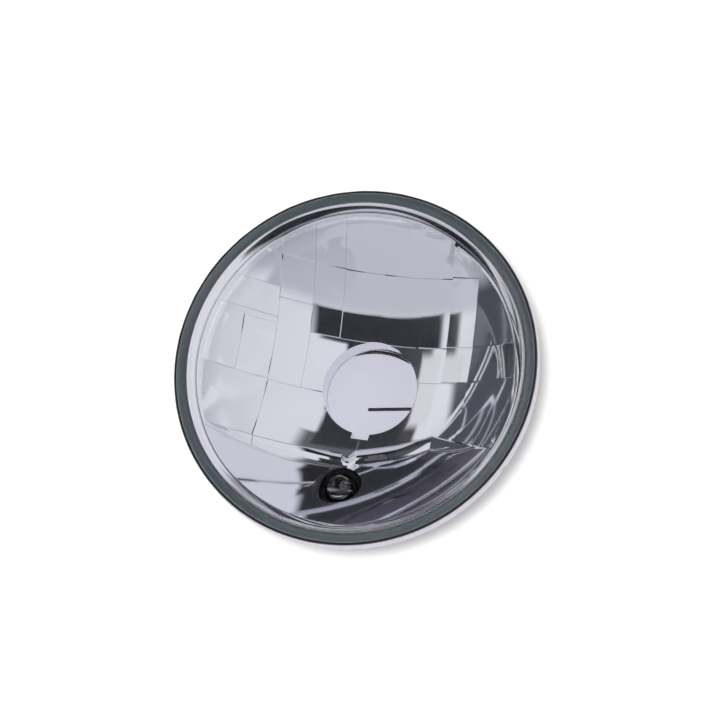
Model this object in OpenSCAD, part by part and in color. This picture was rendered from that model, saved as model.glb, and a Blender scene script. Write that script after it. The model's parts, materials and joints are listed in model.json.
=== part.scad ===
// Headlight insert, round, with a clear domed glass and a stepped mirror reflector.
// The lamp lies on its back: +Z is the way it shines, +Y is up when it is mounted.
// The origin is on the optical axis, at the rear end of the collar.

/* [Rim and glass] */
// Outer diameter of the rim
rim_d = 146; // [140:0.5:150]
// Height of the rim's front edge above the rear end of the collar
rim_z = 58; // [56:0.5:60]
// Depth of the rim's side wall
rim_depth = 5.5; // [4:0.1:7]
// Diameter of the reflector's mirror at the rim
bowl_d = 128; // [120:0.5:130]
// Height of the dome above the rim's front edge
dome_h = 16.5; // [12:0.5:20]
// Thickness of the domed glass
glass_t = 3.2; // [2.5:0.1:4]

/* [Mirror] */
// Focal length of the upper mirror
focal = 32; // [31:0.5:33]
// Focal length of the smooth lower mirror
focal_low = 28; // [27.5:0.5:29]
// Rise of each facet at its inner edge
facet_rise = 0.9; // [0.3:0.1:1.4]
// Rise of the steep column at the right
steep_rise = 2.2; // [0.9:0.1:2.6]
// Height of the ledge's short wall above its sloped band
ledge_wall = 1.5; // [0.8:0.1:2]
// Width of the ledge's sloped band
ledge_slope = 5; // [3:0.5:6]
// Wall thickness of the bowl
bowl_t = 2.2; // [1.8:0.1:2.6]

/* [Bulb seat] */
// Diameter of the bulb hole
bulb_d = 38; // [38:0.1:39]
// Height of the bulb hole's front edge
lip_z = 27; // [26.5:0.1:28]
// Height of the flat back that the seat ring lies on
seat_z = 19; // [18:0.5:20]
// Thickness of the pressed seat ring
seat_t = 1.2; // [1:0.1:1.5]
// Outer diameter of the seat ring
seat_d = 59.2; // [58:0.1:60]
// Width of the key notch below the bulb hole
key_w = 7; // [5:0.5:8]
// Outer diameter of the collar
collar_d = 66; // [65:0.5:66]
// Inner diameter of the collar
collar_bore = 62.8; // [62.5:0.1:63.2]

/* [Bulb clip] */
// Diameter of the clip's wire
wire_d = 1.4; // [1.2:0.1:1.6]
// Gap between the seat ring and the wire, for the bulb's flange
flange_gap = 1.2; // [1:0.1:1.6]
// Distance of the clip's hinge from the lamp's axis
hinge_x = 25.6; // [25:0.1:26]
// Radial play of the wire in its knuckle
hinge_play = 0.08; // [0.03:0.01:0.1]

/* [Pilot lamp] */
// Distance of the pilot lamp to the left of the axis
pilot_x = 2.8; // [0:0.1:4]
// Distance of the pilot lamp below the axis
pilot_y = 43; // [42.5:0.1:44]
// Diameter of the pilot lamp's hole
pilot_d = 18.2; // [17:0.1:18.3]
// Diameter of the small bulb
pilot_bulb_d = 9.9; // [9:0.1:10]
// Height of the small bulb's tip
pilot_tip_z = 38; // [36:0.5:40]

/* [Hidden] */

rim_r = rim_d / 2;
bowl_r = bowl_d / 2;
bulb_r = bulb_d / 2;
collar_r = collar_d / 2;
bowl_z = lip_z + (bowl_r * bowl_r - bulb_r * bulb_r) / (4 * focal);
rim_floor = rim_z - rim_depth;
rim_wall = 1;
seal_film = 0.2;
glass_r = rim_r - rim_wall - seal_film;
skirt_in = 67.8;
skirt_foot = rim_floor + 2.2;
dome_r = 66.4;
groove_in = 67.4;
groove_floor = rim_floor + 1.4;

wire_r = wire_d / 2;
wire_z = seat_z - seat_t - flange_gap - wire_r;
key_depth = 2.3;
rivet_ring = 25.4;
rivet_r = 1.5;
rivet_angles = [90, 232, 308];
strap_y = [-12, -6];
screw_at = [-22.4, -9];
screw_r = 1.2;
hole_play = 0.05;

pilot_at = [-pilot_x, -pilot_y];
boss_foot = 26;
// Height at which a bead on the collar stops the rubber boot
boot_stop = 18;
// Tilt of the mirrored land between the bowl and the rim channel, and how far in it reaches
land_tilt = 25;
land_in = 62;

$fn = 96;

// Lines between the facets: across the lamp, and up it.
col_lines = [-50.8, -39.2, -27, -15.5, 0.2, 16.8, 29.5, 41];
row_lines = [-3.8, 4.8, 18.5, 20.8, 28.5, 32, 43.5];
edge = 66;
gap = 0.06;

// The columns that a height has, and the rows that a column has.
function cols(y) =
    y > 43.5 ? [-edge, -27, -15.5, 0.2, 16.8, 29.5, 41, edge]
    : y > 18.5 ? [-edge, -39.2, -27, -15.5, 0.2, 16.8, 29.5, 41, edge]
    : y > 4.8 ? [-edge, -50.8, -39.2, -27, 0.2, 29.5, 41, edge]
    : y > -3.8 ? [-edge, -50.8, -39.2, -27, 0.2, 29.5, edge]
    : [-edge, -39.2, 0.2, 29.5, edge];
function rows(x) =
    x < -39.2 ? [-edge, -3.8, 20.8, 32, edge]
    : x < -27 ? [-edge, -3.8, 28.5, 43.5, edge]
    : x < 0.2 ? [-edge, -3.8, 18.5, 43.5, edge]
    : x < 41 ? [-edge, 4.8, 18.5, 43.5, edge]
    : [-edge, 4.8, 18.5, edge];

// Share of the way through the cell of list v that holds a, from its low edge.
function share(v, a) =
    let (k = max([for (i = [0 : len(v) - 2]) if (a >= v[i]) i]))
    (a - v[k]) / (v[k + 1] - v[k]);

// Each facet starts proud at its inner edge and meets the mirror's own curve at its outer edge.
function col_rise(x, y) = let (s = share(cols(y), x))
    x < 0.2 ? facet_rise * s
    : (1 - s) * (x > col_lines[6] && x < col_lines[7] && y > row_lines[1] ? steep_rise : facet_rise);
function row_rise(x, y) = facet_rise * (1 - share(rows(x), y));
function upper(x, y) =
    lip_z + (x * x + y * y - bulb_r * bulb_r) / (4 * focal)
    + (col_rise(x, y) + row_rise(x, y)) * fade(x, y);
function fade(x, y) = min(1, max(0, (bowl_r - norm([x, y])) / 9));
function lower(x, y) = bowl_z - (bowl_r * bowl_r - x * x - y * y) / (4 * focal_low);

// The ledge between the upper and the lower mirror, with its small notch below the bulb hole.
function ledge(x) = lookup(x, [[-edge, -29], [-5.5, -28.6], [-2.6, -30.6], [0.2, -26.4],
                               [16.8, -22], [29.5, -17.5], [edge, -27]]);
function mirror_z(x, y, above) =
    above ? upper(x, y)
    : let (t = min(1, max(0, (ledge(x) - y) / ledge_slope)))
      (1 - t) * max(lower(x, y), upper(x, ledge(x) + gap) - ledge_wall) + t * lower(x, y);

// Grid lines: each facet line is doubled, so that its wall stands almost upright.
function spread(a, b, n) = [for (i = [0 : n]) a + (b - a) * i / n];
xs = concat(spread(-edge, col_lines[0] - gap, 2),
    [for (i = [0 : 2], x = spread(col_lines[i] + gap, col_lines[i + 1] - gap, 2)) x],
    [col_lines[3] + gap, -9, -5.5, -2.6, col_lines[4] - gap],
    [for (i = [4 : 6], x = spread(col_lines[i] + gap, col_lines[i + 1] - gap, 2)) x],
    spread(col_lines[7] + gap, edge, 3));

// Rows of the grid at x, as [height up the lamp, whether it is above the ledge].
function ys(x) = let (g = ledge(x)) concat(
    [for (y = spread(-edge, g - ledge_slope, 4)) [y, false]],
    [[g - gap, false]],
    [for (y = spread(g + gap, row_lines[0] - gap, 3)) [y, true]],
    [for (i = [0 : len(row_lines) - 2],
          y = spread(row_lines[i] + gap, row_lines[i + 1] - gap, i == 1 || i == 5 ? 2 : 1)) [y, true]],
    [for (y = spread(row_lines[6] + gap, edge, 3)) [y, true]]);

// The air in front of the stepped mirror: a block whose foot is the mirror's surface.
module mirror_air() {
    top_z = 100;
    nx = len(xs);
    ny = len(ys(0));
    foot = [for (x = xs, p = ys(x)) [x, p[0], mirror_z(x, p[0], p[1])]];
    top = [for (x = xs, p = ys(x)) [x, p[0], top_z]];
    n = nx * ny;
    function at(i, j) = i * ny + j;
    ring = concat([for (j = [0 : ny - 2]) at(0, j)], [for (i = [0 : nx - 2]) at(i, ny - 1)],
                  [for (j = [ny - 1 : -1 : 1]) at(nx - 1, j)], [for (i = [nx - 1 : -1 : 1]) at(i, 0)]);
    polyhedron(points = concat(foot, top, [[0, 0, top_z]]), convexity = 8, faces = concat(
        [for (i = [0 : nx - 2], j = [0 : ny - 2]) each [
            [at(i, j), at(i + 1, j), at(i, j + 1)],
            [at(i + 1, j), at(i + 1, j + 1), at(i, j + 1)]]],
        [for (i = [0 : nx - 2]) each [
            [at(i + 1, 0), at(i, 0), n + at(i, 0), n + at(i + 1, 0)],
            [at(i, ny - 1), at(i + 1, ny - 1), n + at(i + 1, ny - 1), n + at(i, ny - 1)]]],
        [for (j = [0 : ny - 2]) each [
            [at(0, j), at(0, j + 1), n + at(0, j + 1), n + at(0, j)],
            [at(nx - 1, j + 1), at(nx - 1, j), n + at(nx - 1, j), n + at(nx - 1, j + 1)]]],
        [for (k = [0 : len(ring) - 1]) [len(foot) + n, n + ring[k], n + ring[(k + 1) % len(ring)]]]));
}

// Back of the bowl at radius r.
function back_z(r) = bowl_z - bowl_t - (bowl_r * bowl_r - r * r) / (4 * focal_low);

// Collar, neck, bowl and rim channel in one turned shape, with the bowl still full.
module turned_body() {
    brim_z = bowl_z + 0.9;
    land_foot = brim_z - (groove_in - land_in) * tan(land_tilt);
    rotate_extrude($fn = 180)
        polygon(concat(
            [[0, seat_z], [collar_bore / 2, seat_z], [collar_bore / 2, 0], [collar_r, 0],
             [collar_r, boot_stop], [collar_r + 1, boot_stop], [collar_r + 1, boot_stop + 1],
             [collar_r, boot_stop + 2]],
            [for (i = [0 : 8]) let (r = collar_r + (bowl_r + 0.6 - collar_r) * i / 8) [r, back_z(r)]],
            [[bowl_r + 1.6, rim_floor], [rim_r, rim_floor], [rim_r, rim_z - 0.4],
             [rim_r - 0.2, rim_z - 0.2], [rim_r - rim_wall, rim_z - 0.2],
             [rim_r - rim_wall, groove_floor], [groove_in, groove_floor],
             [groove_in, brim_z], [land_in, land_foot], [0, land_foot]]));
}

module seat_fixings(h) {
    for (a = rivet_angles)
        rotate([0, 0, a])
            translate([rivet_ring, 0, seat_z - seat_t - 1])
                cylinder(r = rivet_r + hole_play, h = h);
    translate([screw_at.x, screw_at.y, seat_z - seat_t - 2])
        cylinder(r = screw_r + hole_play, h = h);
}

module bulb_hole() {
    cylinder(r = bulb_r, h = rim_z + 10, $fn = 128);
    translate([-key_w / 2, -bulb_r - key_depth, 0])
        cube([key_w, key_depth + 2, rim_z + 10]);
}

module reflector() {
    notch_angle = -26;
    notch_w = 2.5;
    color([0.82, 0.82, 0.86])
    difference() {
        union() {
            turned_body();
            translate([pilot_at.x, pilot_at.y, boss_foot])
                cylinder(r = pilot_d / 2 + 1.5, h = rim_floor - boss_foot);
        }
        bulb_hole();
        translate([pilot_at.x, pilot_at.y, boss_foot - 1])
            cylinder(r = pilot_d / 2, h = rim_z);
        seat_fixings(6.5);
        rotate([0, 0, notch_angle])
            translate([rim_r - 0.8, -notch_w / 2, rim_floor - 1])
                cube([3, notch_w, 3]);
        mirror_air();
    }
}

// The glass: a dome on a stepped rim, with a skirt that stands in the rim's channel.
module lens() {
    top = rim_z + dome_h;
    dome_foot = rim_z + 3.4;
    sag = top - dome_foot;
    ball = (dome_r * dome_r + sag * sag) / (2 * sag);
    arc = asin(dome_r / ball);
    ball_in = ball - glass_t;
    arc_in = asin(skirt_in / ball_in);
    steps = 12;
    color([0.86, 0.92, 0.92, 0.35])
    rotate_extrude($fn = 180)
        polygon(concat(
            [for (i = [0 : steps]) let (a = arc * i / steps) [ball * sin(a), top - ball * (1 - cos(a))]],
            [[dome_r + 0.5, rim_z + 2.4], [dome_r + 1.3, rim_z + 1.7], [glass_r - 1.2, rim_z + 0.9],
             [glass_r, rim_z + 0.2], [glass_r, groove_floor + 0.6], [glass_r - 0.6, skirt_foot - 0.2],
             [skirt_in + 0.6, skirt_foot - 0.2], [skirt_in, skirt_foot + 0.4]],
            [for (i = [steps : -1 : 0]) let (a = arc_in * i / steps)
                [ball_in * sin(a), top - glass_t - ball_in * (1 - cos(a))]]));
}

// The sealing bead: it fills the channel round the skirt and covers the rim's edge.
module lens_sealant() {
    color([0.03, 0.03, 0.035])
    rotate_extrude($fn = 180)
        polygon([[groove_in, groove_floor], [rim_r - rim_wall, groove_floor],
                 [rim_r - rim_wall, rim_z - 0.2], [rim_r - 0.15, rim_z - 0.2],
                 [rim_r - 0.1, rim_z + 0.15], [rim_r - 0.5, rim_z + 0.45],
                 [glass_r, rim_z + 0.35], [glass_r, groove_floor + 0.6],
                 [glass_r - 0.6, skirt_foot - 0.2], [skirt_in + 0.6, skirt_foot - 0.2],
                 [skirt_in, skirt_foot + 0.4], [groove_in, skirt_foot + 0.4]]);
}

// The pressed bulb seat, with its key notch and the catch that the clip's end hooks under.
module seat_ring() {
    low = seat_z - seat_t;
    catch_x = 27.5;
    color([0.62, 0.63, 0.65])
    difference() {
        union() {
            translate([0, 0, low])
                cylinder(r = seat_d / 2, h = seat_t);
            translate([catch_x, -3.5, wire_z - 2.6])
                cube([seat_t, 5, low - wire_z + 3]);
            translate([catch_x - 0.8, -3.5, wire_z - 2.6])
                cube([seat_t, 5, seat_t]);
        }
        bulb_hole();
        seat_fixings(8);
    }
}

module seat_rivet(a) {
    low = seat_z - seat_t;
    head_r = 2.6;
    head_h = 1.4;
    color([0.7, 0.7, 0.72])
    rotate([0, 0, a])
        translate([rivet_ring, 0, 0])
            rotate_extrude()
                polygon([[0, low - head_h], [head_r * 0.6, low - head_h * 0.85], [head_r * 0.92, low - head_h * 0.45],
                         [head_r, low], [rivet_r, low], [rivet_r, seat_z + 4], [0, seat_z + 4]]);
}

// Stations along a flat path with a bend radius at each inner corner, each as [x, y, heading].
function heading(a, b) = atan2(b.y - a.y, b.x - a.x);
function turn(a, b, c) = let (u = b - a, v = c - b) atan2(u.x * v.y - u.y * v.x, u * v);
function bend(a, b, c, r) =
    let (t = turn(a, b, c), h = heading(a, b), u = [cos(h), sin(h)],
         side = sign(t) * [-u.y, u.x], begin = b - u * r * tan(abs(t) / 2),
         middle = begin + side * r, n = ceil(abs(t) / 9))
    [for (i = [0 : n]) let (k = t * i / n, a0 = atan2(-side.y, -side.x) + k)
        [middle.x + r * cos(a0), middle.y + r * sin(a0), h + k]];
function stations(p, r) = let (last = len(p) - 1) concat(
    [[p[0].x, p[0].y, heading(p[0], p[1])]],
    [for (k = [1 : last - 1]) each bend(p[k - 1], p[k], p[k + 1], r[k])],
    [[p[last].x, p[last].y, heading(p[last - 1], p[last])]]);

// A round wire through those stations.
module flat_wire(p, r, radius) {
    sides = 12;
    st = stations(p, r);
    n = len(st);
    rings = [for (s = st, j = [0 : sides - 1]) let (a = 360 * j / sides)
        [s.x - radius * cos(a) * sin(s.z), s.y + radius * cos(a) * cos(s.z), radius * sin(a)]];
    polyhedron(points = rings, convexity = 6, faces = concat(
        [[for (j = [0 : sides - 1]) j], [for (j = [sides - 1 : -1 : 0]) (n - 1) * sides + j]],
        [for (i = [0 : n - 2], j = [0 : sides - 1])
            let (a = i * sides + j, b = i * sides + (j + 1) % sides) each [
            [a, a + sides, b], [b, a + sides, b + sides]]]));
}

clip_path = [[-hinge_x, -5.6], [-hinge_x, -3.2], [-15, 15.3], [-0.7, 20.2], [13.6, 15.3],
             [26.2, 0.2], [24.2, -2.2], [14.5, -2.9], [-1.8, -5.3]];
clip_bends = [0, 4, 5, 27, 5, 1.4, 1.8, 8, 0];

// The wire clip: hinge stub at the left, over the bulb's flange, hook at the right, finger tail.
module bulb_clip() {
    color([0.28, 0.27, 0.27])
    translate([0, 0, wire_z]) {
        flat_wire(clip_path, clip_bends, wire_r - 0.01);
        translate([-hinge_x, -5, 0])
            rotate([90, 0, 0])
                cylinder(r = wire_r, h = 8.1);
        translate([-hinge_x, -12.5, 0])
            rotate([90, 0, 0])
                cylinder(r = wire_r + 0.4, h = 0.8);
    }
}

module clip_strap() {
    low = seat_z - seat_t;
    ear_t = 1;
    knuckle_r = wire_r + 0.9;
    length = strap_y[1] - strap_y[0];
    color([0.66, 0.66, 0.68])
    difference() {
        union() {
            translate([-hinge_x, strap_y[1], wire_z])
                rotate([90, 0, 0])
                    cylinder(r = knuckle_r, h = length);
            translate([-hinge_x, strap_y[0], low - ear_t])
                cube([4.8, length, ear_t]);
        }
        translate([-hinge_x, strap_y[1] + 1, wire_z])
            rotate([90, 0, 0])
                cylinder(r = wire_r + hinge_play, h = length + 2);
        seat_fixings(8);
    }
}

module strap_screw() {
    low = seat_z - seat_t - 1;
    head_r = 1.5;
    head_h = 1.1;
    color([0.55, 0.55, 0.57])
    translate([screw_at.x, screw_at.y, 0])
        difference() {
            union() {
                translate([0, 0, low - head_h])
                    cylinder(r = head_r, h = head_h);
                translate([0, 0, low])
                    cylinder(r = screw_r, h = 5);
            }
            translate([-0.25, -head_r, low - head_h - 0.1])
                cube([0.5, 2 * head_r, 0.6]);
        }
}

module pilot_grommet() {
    r = pilot_d / 2;
    color([0.05, 0.05, 0.055])
    translate([pilot_at.x, pilot_at.y, 0])
        rotate_extrude()
            polygon([[6.5, boss_foot - 2.5], [r + 0.5, boss_foot - 2.5], [r + 0.5, boss_foot],
                     [r - 0.02, boss_foot], [r - 0.02, 29], [r - 0.6, 29.6], [6.5, 29.6]]);
}

module pilot_holder() {
    pocket_foot = 12;
    color([0.09, 0.09, 0.1])
    translate([pilot_at.x, pilot_at.y, 0])
    difference() {
        rotate_extrude()
            polygon([[0, 9], [5.6, 9], [6.2, 9.6], [6.2, 20.5], [8.2, 20.5], [8.2, boss_foot - 2.5],
                     [6.48, boss_foot - 2.5], [6.48, 27.6], [5.9, 28.2], [0, 28.2]]);
        translate([0, 0, pocket_foot])
            cylinder(r = pilot_bulb_d / 2 + 0.1, h = 20);
        for (s = [-1, 1])
            translate([s * 3 - 0.4, -1.6, 8])
                cube([0.8, 3.2, 3]);
    }
}

module pilot_bulb() {
    r = pilot_bulb_d / 2;
    wall = 0.7;
    tip = pilot_tip_z - r;
    foot_z = 19;
    color([0.9, 0.92, 0.92, 0.3])
    translate([pilot_at.x, pilot_at.y, 0]) {
        rotate_extrude()
            polygon(concat(
                [[0, foot_z - 3], [r - 1.2, foot_z - 3], [r, foot_z - 1.6]],
                [for (a = [0 : 10 : 90]) [r * cos(a), tip + r * sin(a)]],
                [for (a = [90 : -10 : 0]) [(r - wall) * cos(a), tip + (r - wall) * sin(a)]],
                [[r - wall, foot_z], [0, foot_z]]));
        translate([-4.4, -1.2, 12])
            cube([8.8, 2.4, 5]);
    }
}

filament_z = 31.5;
lead_x = 2.4;

module pilot_filament() {
    color([0.45, 0.45, 0.47])
    translate([pilot_at.x - lead_x + 0.3, pilot_at.y, filament_z])
        rotate([0, 90, 0])
            cylinder(r = 0.35, h = 2 * lead_x - 0.6, $fn = 24);
}

module pilot_lead(s) {
    color([0.5, 0.5, 0.52])
    translate([pilot_at.x + s * lead_x, pilot_at.y, 19])
        cylinder(r = 0.3, h = filament_z - 19 + 0.3, $fn = 24);
}

module pilot_terminal(s) {
    color([0.75, 0.68, 0.45])
    translate([pilot_at.x + s * 3 - 0.4, pilot_at.y - 1.6, 2])
        difference() {
            cube([0.8, 3.2, 9]);
            translate([-1, 1.6, 2])
                rotate([0, 90, 0])
                    cylinder(r = 0.6, h = 3, $fn = 24);
        }
}

lens();
lens_sealant();
reflector();
seat_ring();
seat_rivet(rivet_angles[0]);  // seat_rivet_1
seat_rivet(rivet_angles[1]);  // seat_rivet_2
seat_rivet(rivet_angles[2]);  // seat_rivet_3
bulb_clip();
clip_strap();
strap_screw();
pilot_grommet();
pilot_holder();
pilot_bulb();
pilot_filament();
pilot_lead(-1);  // pilot_lead_1
pilot_lead(1);  // pilot_lead_2
pilot_terminal(-1);  // pilot_terminal_1
pilot_terminal(1);  // pilot_terminal_2
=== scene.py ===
# %% [markdown]
# # A round headlight insert
# The lamp lies on its back on a white table: a domed clear glass over a stepped mirror, a black
# sealing bead round the rim, a bulb hole with a wire clip behind it, and a small pilot lamp.
# The measured model is loaded first. Everything made here is set around it, in metres.

# %% Load the measured model
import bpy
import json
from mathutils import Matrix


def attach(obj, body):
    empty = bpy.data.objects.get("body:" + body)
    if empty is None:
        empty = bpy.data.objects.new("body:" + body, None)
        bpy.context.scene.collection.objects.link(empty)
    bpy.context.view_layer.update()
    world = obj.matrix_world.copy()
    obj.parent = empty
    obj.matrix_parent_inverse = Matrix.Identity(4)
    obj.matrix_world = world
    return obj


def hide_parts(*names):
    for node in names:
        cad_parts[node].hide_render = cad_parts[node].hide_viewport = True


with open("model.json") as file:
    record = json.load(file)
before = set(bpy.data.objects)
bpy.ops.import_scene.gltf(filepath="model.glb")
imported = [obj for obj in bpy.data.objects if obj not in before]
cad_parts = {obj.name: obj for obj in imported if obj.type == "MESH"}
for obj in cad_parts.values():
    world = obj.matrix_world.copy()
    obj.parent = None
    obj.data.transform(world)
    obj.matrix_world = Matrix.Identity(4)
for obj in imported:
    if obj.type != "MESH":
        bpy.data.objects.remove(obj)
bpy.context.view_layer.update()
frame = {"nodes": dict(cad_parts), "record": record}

import json
import math
import random

import bmesh
import bpy
from mathutils import Matrix, Vector

MM = 0.001

# %% [markdown]
# ## Sizes
# The lamp's heights and radii are real ones, in millimetres. Height 0 is the rear end of the
# collar, and the optical axis runs up through the middle.

# %% Sizes of the lamp
RIM_R = 73.0
RIM_Z = 58.0
RIM_FLOOR = 52.5
RIM_WALL = 1.0
GLASS_R = 71.8
BOWL_R = 64.0
BOWL_T = 2.2
BULB_R = 19.0
LIP_Z = 27.0
SEAT_Z = 19.0
COLLAR_R = 33.0
COLLAR_BORE_R = 31.4
BOOT_STOP = 18.0
FOCAL = 32.0
FOCAL_LOW = 28.0
BOWL_Z = LIP_Z + (BOWL_R ** 2 - BULB_R ** 2) / (4 * FOCAL)
GROOVE_IN = 67.4
GROOVE_FLOOR = 53.9
SKIRT_IN = 67.8
SKIRT_FOOT = 54.7
KEY_W = 7.0
KEY_DEPTH = 2.3
PILOT = Vector((-2.8, -43.0, 0))
PILOT_R = 9.1
BOSS_FOOT = 26.0
WIRE_Z = 15.9
HINGE_X = -25.6
print("the bowl's brim is at", round(BOWL_Z, 2), "mm")

# %% [markdown]
# ## Camera
# The photograph looks down on the lamp at about 69 degrees, a little from its lower right, with
# the camera rolled. Three directions say this: the picture's right, the picture's down and the
# way back to the camera. The black bead's outline gave them: it is an ellipse with half axes of
# 185 and 173 pixels. The rim shows hardly any perspective, so the camera stands three metres off
# with a long lens, and the lens is worked out from the pixels that a millimetre takes.

# %% Camera
picture_right = Vector((0.9617, 0.1886, -0.1989)).normalized()
picture_down = Vector((0.1250, -0.9476, -0.2941))
picture_down = (picture_down - picture_right * picture_down.dot(picture_right)).normalized()
to_camera = picture_down.cross(picture_right)
PIXELS_PER_MM = 2.545
FRAME_PIXELS = 720
RIM_PIXEL = (354.9, 366.9)
CAMERA_DISTANCE = 3000.0
SENSOR = 36.0
CLIP_END = 20

camera_data = bpy.data.cameras.new("camera")
camera_data.sensor_width = SENSOR
camera_data.lens = SENSOR * PIXELS_PER_MM * CAMERA_DISTANCE / FRAME_PIXELS
camera_data.clip_end = CLIP_END
camera = bpy.data.objects.new("camera", camera_data)
bpy.context.scene.collection.objects.link(camera)
shift_right = (FRAME_PIXELS / 2 - RIM_PIXEL[0]) / PIXELS_PER_MM
shift_down = (FRAME_PIXELS / 2 - RIM_PIXEL[1]) / PIXELS_PER_MM
eye = (Vector((0, 0, RIM_Z)) + to_camera * CAMERA_DISTANCE
       + picture_right * shift_right + picture_down * shift_down) * MM
turn = Matrix((picture_right, -picture_down, to_camera)).transposed()
camera.matrix_world = Matrix.Translation(eye) @ turn.to_4x4()
bpy.context.scene.camera = camera
camera_height = math.degrees(math.asin(to_camera.z))
print("lens", round(camera_data.lens, 1), "mm, camera", round(camera_height, 1), "degrees up")

# %% [markdown]
# ## Tools for turned pieces
# Nearly every piece of this lamp was pressed, blown or moulded round one axis. So one helper spins
# an outline of radius and height into a closed shape. Points on the axis become a pole, and the
# doubles there are merged before the faces are turned outwards. An edge that lies on the axis would
# spin into nothing, so it is left out. A lathe-like Screw modifier would do as well, but the
# operator gives the finished mesh at once, ready for the cuts.

# %% Helpers for shapes
ON_AXIS = 1e-9
DOUBLES = 1e-6
FULL_TURN = 2 * math.pi


def new_piece(name, shape, materials, smooth_angle=None):
    """Turns a bmesh into an object at the origin, with shaded edges kept sharp above an angle."""
    bmesh.ops.recalc_face_normals(shape, faces=shape.faces)
    if shape.calc_volume(signed=True) < 0:
        bmesh.ops.reverse_faces(shape, faces=shape.faces)
    data = bpy.data.meshes.new(name)
    shape.to_mesh(data)
    shape.free()
    for material in materials:
        data.materials.append(material)
    piece = bpy.data.objects.new(name, data)
    bpy.context.scene.collection.objects.link(piece)
    if smooth_angle is not None:
        shade(piece, smooth_angle)
    print(name, len(data.polygons), "faces")
    return piece


def turned(outline, steps=256, centre=(0, 0)):
    """Spins a closed outline of (radius, height) in millimetres into a bmesh."""
    shape = bmesh.new()
    points = [shape.verts.new((r * MM, 0, z * MM)) for r, z in outline]
    edges = [shape.edges.new((a, b)) for a, b in zip(points, points[1:] + points[:1])
             if a.co.x + b.co.x > ON_AXIS]
    bmesh.ops.spin(shape, geom=points + edges, cent=(0, 0, 0), axis=(0, 0, 1), dvec=(0, 0, 0),
                   angle=FULL_TURN, steps=steps, use_merge=True)
    bmesh.ops.remove_doubles(shape, verts=shape.verts, dist=DOUBLES)
    bmesh.ops.translate(shape, vec=Vector((centre[0], centre[1], 0)) * MM, verts=shape.verts)
    bmesh.ops.recalc_face_normals(shape, faces=shape.faces)
    return shape


def arc(centre_r, centre_z, radius, start, end, count):
    """Points of an arc in the outline's plane, with angles in degrees from the outward direction."""
    steps = [math.radians(start + (end - start) * i / count) for i in range(count + 1)]
    return [(centre_r + radius * math.cos(a), centre_z + radius * math.sin(a)) for a in steps]


def combine(piece, tool, operation):
    """Adds a tool's volume to a piece or takes it out, and removes the tool."""
    step = piece.modifiers.new("combine", "BOOLEAN")
    step.operation = operation
    step.solver = "MANIFOLD"
    step.object = tool
    bpy.context.view_layer.update()
    done = bpy.data.meshes.new_from_object(piece.evaluated_get(bpy.context.evaluated_depsgraph_get()))
    done.name = piece.name
    piece.modifiers.clear()
    piece.data = done
    bpy.data.objects.remove(tool)


def cut(piece, *tools):
    """Takes the tools' volumes out of a piece."""
    for tool in tools:
        combine(piece, tool, "DIFFERENCE")


def join(piece, other):
    """Makes two pieces one solid."""
    combine(piece, other, "UNION")


def shade(piece, smooth_angle):
    """Smooth shading, with the edges above an angle kept sharp."""
    piece.data.shade_smooth()
    piece.data.set_sharp_from_angle(angle=math.radians(smooth_angle))


# %% [markdown]
# ## Tools for finishes
# Every finish is a Principled shader. What is even all over sits on its own sockets, and noise in
# object coordinates breaks up the colour, the roughness and the surface. A Mix node has sockets for
# numbers, vectors and colours, so its colour sockets are named by their places in the list.

# %% Helpers for finishes
MIX_BELOW, MIX_ABOVE, MIX_RESULT = 6, 7, 2


def finish(name, colour, roughness, metallic=0.0, **sockets):
    """A Principled material, returned with its nodes ready for more."""
    material = bpy.data.materials.new(name)
    material.use_nodes = True
    shader = material.node_tree.nodes["Principled BSDF"]
    shader.inputs["Base Color"].default_value = (*colour, 1)
    shader.inputs["Roughness"].default_value = roughness
    shader.inputs["Metallic"].default_value = metallic
    for socket, value in sockets.items():
        shader.inputs[socket.replace("_", " ")].default_value = value
    return material


def noise(material, scale, detail=3.0, stretch=(1, 1, 1)):
    """A noise texture in object coordinates. The scale is in waves per metre."""
    nodes, links = material.node_tree.nodes, material.node_tree.links
    place = nodes.new("ShaderNodeTexCoord")
    mapping = nodes.new("ShaderNodeMapping")
    mapping.inputs["Scale"].default_value = stretch
    texture = nodes.new("ShaderNodeTexNoise")
    texture.inputs["Scale"].default_value = scale
    texture.inputs["Detail"].default_value = detail
    links.new(place.outputs["Object"], mapping.inputs["Vector"])
    links.new(mapping.outputs["Vector"], texture.inputs["Vector"])
    return texture.outputs["Fac"]


def spread_value(material, source, socket, low, high):
    """Lets a texture move a value between two limits."""
    nodes, links = material.node_tree.nodes, material.node_tree.links
    spread = nodes.new("ShaderNodeMapRange")
    spread.inputs["To Min"].default_value = low
    spread.inputs["To Max"].default_value = high
    links.new(source, spread.inputs["Value"])
    links.new(spread.outputs["Result"], nodes["Principled BSDF"].inputs[socket])


def spread_colour(material, source, dark, pale, low=0.35, high=0.65):
    """Lets a texture move the colour between two."""
    nodes, links = material.node_tree.nodes, material.node_tree.links
    ramp = nodes.new("ShaderNodeValToRGB")
    ramp.color_ramp.elements[0].position = low
    ramp.color_ramp.elements[1].position = high
    ramp.color_ramp.elements[0].color = (*dark, 1)
    ramp.color_ramp.elements[1].color = (*pale, 1)
    links.new(source, ramp.inputs["Fac"])
    links.new(ramp.outputs["Color"], nodes["Principled BSDF"].inputs["Base Color"])


def bump(material, source, strength, depth_mm):
    """Lets a texture raise the surface by a depth."""
    nodes, links = material.node_tree.nodes, material.node_tree.links
    raised = nodes.new("ShaderNodeBump")
    raised.inputs["Strength"].default_value = strength
    raised.inputs["Distance"].default_value = depth_mm * MM
    links.new(source, raised.inputs["Height"])
    links.new(raised.outputs["Normal"], nodes["Principled BSDF"].inputs["Normal"])


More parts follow.
